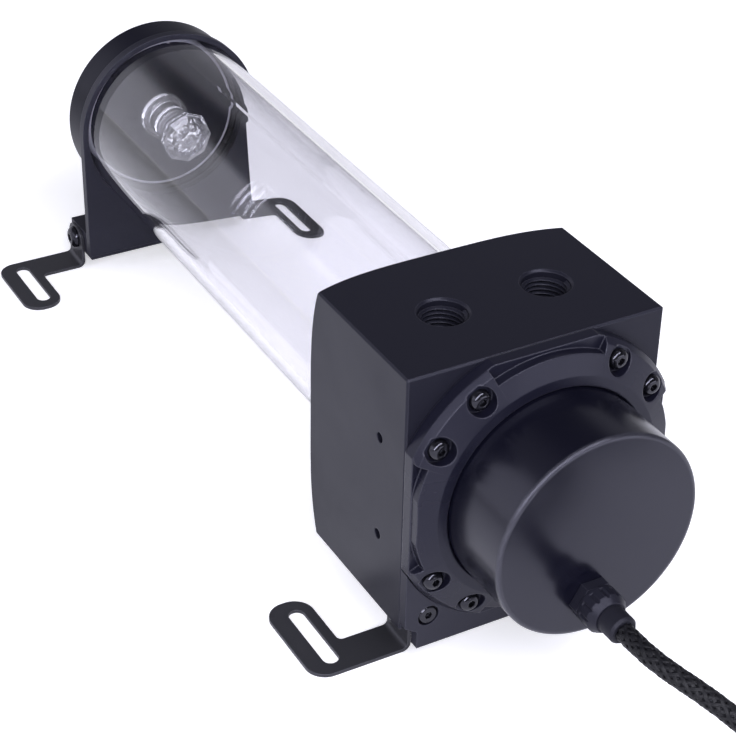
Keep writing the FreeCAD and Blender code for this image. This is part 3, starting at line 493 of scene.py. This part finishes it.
class RESERVOIR_OT_reservoir(bpy.types.Operator):
    """Finish the clear tube, its end cap and the light guide"""

    bl_idname = "reservoir.reservoir"
    bl_label = "Reservoir"

    def execute(self, context):
        grain = settings().grain
        acrylic = clear_acrylic("Clear acrylic", (0.945, 0.94, 0.97))
        guide = clear_acrylic("Guide acrylic", (0.93, 0.935, 0.97), 0.02, 0.94)
        # The cap's pale edge colour paints a highlight along its edges
        cap = coated("Cap acetal", (0.005, 0.005, 0.010), (0.30, 0.30, 0.34), 0.30, grain=grain,
                     edge_amount=0.6, specular=0.10)
        # Painted highlight colour for the spigot's edge band
        paint_spigot_edge_highlight(cap, (0.50, 0.50, 0.56))
        finish_nodes(acrylic, "reservoir_tube")
        finish_nodes(guide, "light_guide")
        finish_nodes(cap, "end_cap")
        return {"FINISHED"}


class RESERVOIR_OT_brackets(bpy.types.Operator):
    """Finish the brackets and the slotted feet"""

    bl_idname = "reservoir.brackets"
    bl_label = "Brackets and feet"

    def execute(self, context):
        grain = settings().grain
        plate = coated("Bracket coat", (0.009, 0.009, 0.015), (0.08, 0.08, 0.10), 0.45,
                       grain_scale=1500.0, grain=grain * 1.6, specular=0.35)
        feet = coated("Foot coat", (0.028, 0.028, 0.031), (0.14, 0.14, 0.15), 0.36,
                      grain_scale=1500.0, grain=grain * 1.6, specular=0.35)
        finish_nodes(plate, "bracket_front", "bracket_rear")
        finish_nodes(feet, "foot_front_left", "foot_front_right", "foot_rear_left", "foot_rear_right")
        return {"FINISHED"}


class RESERVOIR_OT_inside(bpy.types.Operator):
    """Finish the pieces inside the pump and the reservoir"""

    bl_idname = "reservoir.inside"
    bl_label = "Inner pieces"

    def execute(self, context):
        rubber = coated("Seal rubber", (0.010, 0.010, 0.010), (0.02, 0.02, 0.02), 0.6)
        moulded = coated("Moulded plastic", (0.03, 0.03, 0.032), (0.06, 0.06, 0.06), 0.5)
        ceramic = coated("Ceramic", (0.78, 0.76, 0.70), (0.85, 0.84, 0.80), 0.12, grain=0.02)
        ferrite = coated("Bonded ferrite", (0.05, 0.05, 0.052), (0.12, 0.12, 0.12), 0.6)
        copper = coated("Varnished copper", (0.50, 0.20, 0.09), (0.65, 0.32, 0.16), 0.3, metallic=0.9)
        board = coated("Solder mask", (0.02, 0.14, 0.05), (0.10, 0.25, 0.14), 0.35)
        finish_nodes(rubber, "tube_seal_front", "tube_seal_rear", "pump_seal", "guide_seal")
        finish_nodes(moulded, "separation_can", "impeller")
        finish_nodes(ceramic, "bearing_ball")
        finish_nodes(ferrite, "rotor_magnet")
        finish_nodes(copper, "stator_coil")
        finish_nodes(board, "circuit_board")
        return {"FINISHED"}


# Lead

def cable_points():
    """Control points of the lead: its route, the coil's turns and the tail to the plug."""
    points = [Vector(point) for point in CABLE_ROUTE]
    steps = COIL_TURNS * COIL_STEPS
    for step in range(1, steps + 1):
        turns = step / COIL_STEPS
        angle = COIL_ENTRY - 2 * math.pi * turns
        radius = COIL_INNER + 2 * CABLE_RADIUS * turns
        height = COIL_SETTLE[step - 1] if step <= len(COIL_SETTLE) else CABLE_RADIUS
        x = COIL_CENTRE[0] + radius * math.cos(angle)
        y = COIL_CENTRE[1] + radius * math.sin(angle)
        points.append(Vector((x, y, height)))
    points.extend(Vector(point) for point in TAIL_ROUTE)
    return points


def cable_curve(name, radius):
    """Round cord along the lead's control points."""
    data = bpy.data.curves.new(name, "CURVE")
    data.dimensions = "3D"
    data.resolution_u = 10
    data.bevel_depth = radius
    data.bevel_resolution = 5
    data.use_fill_caps = True
    points = cable_points()
    spline = data.splines.new("NURBS")
    spline.points.add(len(points) - 1)
    for target, point in zip(spline.points, points):
        target.co = (*point, 1.0)
    spline.order_u = 3
    spline.use_endpoint_u = True
    piece = bpy.data.objects.new(name, data)
    bpy.context.collection.objects.link(piece)
    return piece


def cable_line():
    """Points along the lead's centreline, read from its spline."""
    guide = cable_curve("guide_line", 0.0)
    guide.data.use_fill_caps = False
    guide.data.resolution_u = 24
    mesh = bpy.data.meshes.new_from_object(guide)
    line = [vertex.co.copy() for vertex in mesh.vertices]
    bpy.data.meshes.remove(mesh)
    bpy.data.objects.remove(guide)
    return line


def even_frames(line, step):
    """Centre, side and up vectors at even steps along a line, turned as little as possible."""
    lengths = [0.0]
    for before, here in zip(line, line[1:]):
        lengths.append(lengths[-1] + (here - before).length)
    count = int(lengths[-1] / step)
    frames = []
    side = Vector((1.0, 0.0, 0.0))
    index = 0
    for number in range(count + 1):
        distance = lengths[-1] * number / count
        while index < len(line) - 2 and lengths[index + 1] < distance:
            index += 1
        run = line[index + 1] - line[index]
        share = (distance - lengths[index]) / max(run.length, 1e-9)
        heading = run.normalized()
        side = (side - heading * side.dot(heading)).normalized()
        frames.append((distance, line[index] + run * share, side.copy(), heading.cross(side)))
    return frames


BRAID_TURN = 0.024
BRAID_STEP = 0.0005
BRAID_RADIUS = 0.00245
BRAID_WAVE = 0.0001
STRAND_HALF_WIDTH = 0.00078
STRAND_HALF_THICKNESS = 0.0002
STRAND_SIDES = 6
FILAMENT_HEIGHT = 0.06 * MM


def braid(name, frames, direction, strands, material):
    """All strands that run one way round the lead, woven over and under the other way's."""
    vertices, faces, across = [], [], []
    for strand in range(strands):
        start = len(vertices)
        for distance, centre, side, up in frames:
            phase = 2 * math.pi * distance / BRAID_TURN
            angle = 2 * math.pi * strand / strands + direction * phase
            wave = direction * BRAID_WAVE * math.cos(strands * phase + math.pi * strand)
            outward = side * math.cos(angle) + up * math.sin(angle)
            around = up * math.cos(angle) - side * math.sin(angle)
            for corner in range(STRAND_SIDES):
                turn = 2 * math.pi * corner / STRAND_SIDES
                width = STRAND_HALF_WIDTH * math.cos(turn)
                height = STRAND_HALF_THICKNESS * math.sin(turn)
                bend = width * width / (2 * BRAID_RADIUS)
                radius = BRAID_RADIUS + wave + height - bend
                vertices.append(centre + outward * radius + around * width)
        rows = len(frames)
        for row in range(rows - 1):
            for corner in range(STRAND_SIDES):
                a = start + row * STRAND_SIDES + corner
                b = start + row * STRAND_SIDES + (corner + 1) % STRAND_SIDES
                faces.append((a, b, b + STRAND_SIDES, a + STRAND_SIDES))
                across.append((corner, corner + 1, corner + 1, corner))
        last = start + (rows - 1) * STRAND_SIDES
        faces.append(tuple(range(start + STRAND_SIDES - 1, start - 1, -1)))
        across.append(tuple(range(STRAND_SIDES)))
        faces.append(tuple(range(last, last + STRAND_SIDES)))
        across.append(tuple(range(STRAND_SIDES)))
    mesh = bpy.data.meshes.new(name)
    mesh.from_pydata(vertices, [], faces)
    layer = mesh.uv_layers.new(name="Strand")
    for polygon, corners in zip(mesh.polygons, across):
        for loop, corner in zip(polygon.loop_indices, corners):
            layer.data[loop].uv = (corner / STRAND_SIDES, mesh.loops[loop].vertex_index * 0.001)
    mesh.polygons.foreach_set("use_smooth", [True] * len(mesh.polygons))
    mesh.materials.append(material)
    piece = bpy.data.objects.new(name, mesh)
    bpy.context.collection.objects.link(piece)
    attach(piece, BODY)
    return piece


def filament_material():
    """Black monofilament: fine lines along each strand, read from its own UV map."""
    material, tree, shader = new_material("Braid filament")
    link = tree.links.new
    uv = add_node(tree, "ShaderNodeUVMap", uv_map="Strand")
    lines = add_node(tree, "ShaderNodeTexWave", wave_type="BANDS", bands_direction="X")
    lines.inputs["Scale"].default_value = 4.0
    link(uv.outputs["UV"], lines.inputs["Vector"])
    tone = mix_colours(tree, lines.outputs["Fac"], (0.003, 0.003, 0.004), (0.010, 0.010, 0.012))
    link(tone, shader.inputs["Base Color"])
    bump = add_node(tree, "ShaderNodeBump")
    bump.inputs["Distance"].default_value = FILAMENT_HEIGHT
    bump.inputs["Strength"].default_value = 0.6
    link(lines.outputs["Fac"], bump.inputs["Height"])
    link(bump.outputs["Normal"], shader.inputs["Normal"])
    shader.inputs["Roughness"].default_value = 0.42
    shader.inputs["Specular IOR Level"].default_value = 0.2
    return material


class RESERVOIR_OT_lead(bpy.types.Operator):
    """Build the braided lead, its coil and its plug's finish"""

    bl_idname = "reservoir.lead"
    bl_label = "Lead"

    def execute(self, context):
        values = settings()
        jacket = coated("Lead core", (0.008, 0.008, 0.009), (0.02, 0.02, 0.02), 0.6, grain=0.3)
        lead = cable_curve("braided_lead", CORE_RADIUS)
        lead.data.materials.append(jacket)
        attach(lead, BODY)
        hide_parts("pump_cable", "cable_coil", "cable_tail")
        filament = filament_material()
        frames = even_frames(cable_line(), BRAID_STEP)
        strands = values.braid_strands
        right = braid("braid_right", frames, 1, strands, filament)
        left = braid("braid_left", frames, -1, strands, filament)
        nylon = coated("Plug nylon", (0.015, 0.015, 0.017), (0.05, 0.05, 0.055), 0.4)
        tin = coated("Tinned brass", (0.60, 0.54, 0.38), (0.70, 0.64, 0.48), 0.25, metallic=1.0)
        finish_nodes(nylon, "power_plug", "coil_tie")
        finish_nodes(tin, "plug_pins")
        return {"FINISHED"}


# Stage

AIM = (-0.03031, -0.06724, 0.07500)


def camera_axes():
    """Right, up and back directions of the camera, from its angles."""
    values = settings()
    a, e, roll = values.camera_azimuth, values.camera_elevation, values.camera_roll
    back = Vector((math.sin(a) * math.cos(e), -math.cos(a) * math.cos(e), math.sin(e)))
    right = Vector((math.cos(a), math.sin(a), 0.0))
    up = back.cross(right)
    return (
        right * math.cos(roll) + up * math.sin(roll),
        up * math.cos(roll) - right * math.sin(roll),
        back,
    )


def place_camera():
    values = settings()
    right, up, back = camera_axes()
    data = bpy.data.cameras.new("Camera")
    data.lens = values.camera_lens
    data.sensor_width = 36.0
    data.sensor_fit = "HORIZONTAL"
    data.clip_start = 0.01
    data.clip_end = 20.0
    camera = bpy.data.objects.new("Camera", data)
    turn = Matrix((right, up, back)).transposed().to_4x4()
    camera.matrix_world = Matrix.Translation(Vector(AIM) + back * values.camera_distance) @ turn
    bpy.context.collection.objects.link(camera)
    bpy.context.scene.camera = camera


# Soft lamps: name, place, width, height, turn about its beam, and the setting that holds its power
LAMPS = (
    ("Key", (-0.9, -0.15, 0.55), 0.8, 0.6, 0.0, "key_power"),
    ("Strip", (-0.50, -0.82, 0.62), 1.0, 0.22, math.radians(50.0), "strip_power"),
    ("Side", (0.52, -1.10, 0.17), 0.9, 0.30, 0.0, "side_power"),
    ("Front", (0.24, -0.70, 1.02), 0.8, 0.25, 0.0, "front_power"),
    ("Top", (0.1, 0.1, 1.3), 0.9, 0.5, 0.0, "top_power"),
)
LAMP_AIM = (0.0, 0.0, 0.05)
LIGHT_TINT = (0.88, 0.88, 1.0)


def soft_lamp(name, place, width, height, turn, power):
    """Tinted rectangular lamp that faces the object."""
    data = bpy.data.lights.new(name, "AREA")
    data.shape = "RECTANGLE"
    data.size = width
    data.size_y = height
    data.energy = power
    data.color = LIGHT_TINT
    lamp = bpy.data.objects.new(name, data)
    lamp.location = place
    lamp.rotation_euler = (Vector(LAMP_AIM) - Vector(place)).to_track_quat("-Z", "Y").to_euler()
    lamp.rotation_euler.rotate_axis("Z", turn)
    bpy.context.collection.objects.link(lamp)


def path_level(tree, path, levels):
    """Highest of the levels whose kind of ray is met, else zero."""
    highest = None
    for kind, level in levels:
        part = calculate(tree, "MULTIPLY", path.outputs[kind], level)
        highest = calculate(tree, "MAXIMUM", highest, part) if highest else part
    return highest


FLOOR_SIZE = 6.0
FLOOR_DROP = 0.2 * MM
FLOOR_GLOW = (("Is Camera Ray", 0.45), ("Is Transmission Ray", 0.40), ("Is Glossy Ray", 0.12))

# Distances from the middle between which the floor's glow grows, and how often it grows
GLOW_REACH = (0.45, 1.4)
GLOW_GROWTH = (1.0, 2.3)


def floor_material():
    """White floor that is seen almost burnt out, but that still takes shadows."""
    material, tree, shader = new_material("Stage floor")
    shader.inputs["Base Color"].default_value = (0.90, 0.90, 0.91, 1.0)
    shader.inputs["Roughness"].default_value = 0.9
    shader.inputs["Specular IOR Level"].default_value = 0.0
    shader.inputs["Emission Color"].default_value = (1.0, 1.0, 1.0, 1.0)
    path = tree.nodes.new("ShaderNodeLightPath")
    glow = path_level(tree, path, FLOOR_GLOW)
    place = tree.nodes.new("ShaderNodeTexCoord")
    away = add_node(tree, "ShaderNodeVectorMath", operation="LENGTH")
    tree.links.new(place.outputs["Object"], away.inputs[0])
    growth = remap(tree, away.outputs["Value"], GLOW_REACH, GLOW_GROWTH, "SMOOTHSTEP")
    tree.links.new(calculate(tree, "MULTIPLY", glow, growth), shader.inputs["Emission Strength"])
    return material


# Level of the surroundings in reflections, by height, from the front to the back and from left to right:
# the two places on that axis between which it changes, and its two levels
SKY_BY_HEIGHT = ((0.50, 0.57), (1.3, 0.26))
SKY_BY_DEPTH = ((-0.8, -0.2), (0.3, 1.0))
SKY_BY_SIDE = ((-0.40, 0.10), (1.0, 0.25))
SEEN_AS_WHITE = (("Is Camera Ray", 1.0), ("Is Transmission Ray", 1.0))


def studio_world():
    """White where it is seen, also through the tube; in reflections bright low behind at the left."""
    world = bpy.data.worlds.new("Studio")
    world.use_nodes = True
    tree = world.node_tree
    backdrop = tree.nodes["Background"]
    place = tree.nodes.new("ShaderNodeTexCoord")
    split = tree.nodes.new("ShaderNodeSeparateXYZ")
    tree.links.new(place.outputs["Generated"], split.inputs["Vector"])
    height = remap(tree, split.outputs["Z"], *SKY_BY_HEIGHT, "SMOOTHSTEP")
    depth = remap(tree, split.outputs["Y"], *SKY_BY_DEPTH, "SMOOTHSTEP")
    side = remap(tree, split.outputs["X"], *SKY_BY_SIDE, "SMOOTHSTEP")
    around = calculate(tree, "MULTIPLY", height, calculate(tree, "MULTIPLY", depth, side))
    path = tree.nodes.new("ShaderNodeLightPath")
    direct = calculate(tree, "LESS_THAN", path.outputs["Glossy Depth"], 0.5)
    seen = calculate(tree, "MULTIPLY", path_level(tree, path, SEEN_AS_WHITE), direct)
    tree.links.new(calculate(tree, "MAXIMUM", seen, around), backdrop.inputs["Strength"])
    tree.links.new(mix_colours(tree, seen, LIGHT_TINT, (1.0, 1.0, 1.0)), backdrop.inputs["Color"])
    return world


class RESERVOIR_OT_stage(bpy.types.Operator):
    """Set up the floor, the soft lights and the camera"""

    bl_idname = "reservoir.stage"
    bl_label = "Stage"

    def execute(self, context):
        values = settings()
        bpy.ops.object.select_all(action="DESELECT")
        bpy.ops.mesh.primitive_plane_add(size=FLOOR_SIZE, location=(0, 0, -FLOOR_DROP))
        floor = context.object
        floor.name = "Floor"
        floor.data.materials.append(floor_material())
        context.scene.world = studio_world()
        context.scene.view_settings.view_transform = "Standard"
        for name, place, width, height, turn, setting in LAMPS:
            soft_lamp(name, place, width, height, turn, getattr(values, setting))
        place_camera()
        return {"FINISHED"}


class RESERVOIR_PT_panel(bpy.types.Panel):
    """Buttons and values of the reservoir"""

    bl_label = "Coolant pump reservoir"
    bl_idname = "RESERVOIR_PT_panel"
    bl_space_type = "VIEW_3D"
    bl_region_type = "UI"
    bl_category = "Reservoir"

    def draw(self, context):
        values = settings()
        for name in ReservoirSettings.__annotations__:
            self.layout.prop(values, name)
        for operator in OPERATORS:
            self.layout.operator(operator.bl_idname)


OPERATORS = (
    RESERVOIR_OT_stage,
    RESERVOIR_OT_block,
    RESERVOIR_OT_motor,
    RESERVOIR_OT_reservoir,
    RESERVOIR_OT_brackets,
    RESERVOIR_OT_inside,
    RESERVOIR_OT_lead,
)
CLASSES = (ReservoirSettings, RESERVOIR_PT_panel) + OPERATORS


def register():
    for item in CLASSES:
        bpy.utils.register_class(item)
    bpy.types.Scene.reservoir_settings = PointerProperty(type=ReservoirSettings)


def unregister():
    del bpy.types.Scene.reservoir_settings
    for item in reversed(CLASSES):
        bpy.utils.unregister_class(item)


def main():
    register()
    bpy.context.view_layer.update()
    bpy.ops.reservoir.stage()
    bpy.ops.reservoir.block()
    bpy.ops.reservoir.motor()
    bpy.ops.reservoir.reservoir()
    bpy.ops.reservoir.brackets()
    bpy.ops.reservoir.inside()
    bpy.ops.reservoir.lead()


if __name__ == "__main__":
    main()
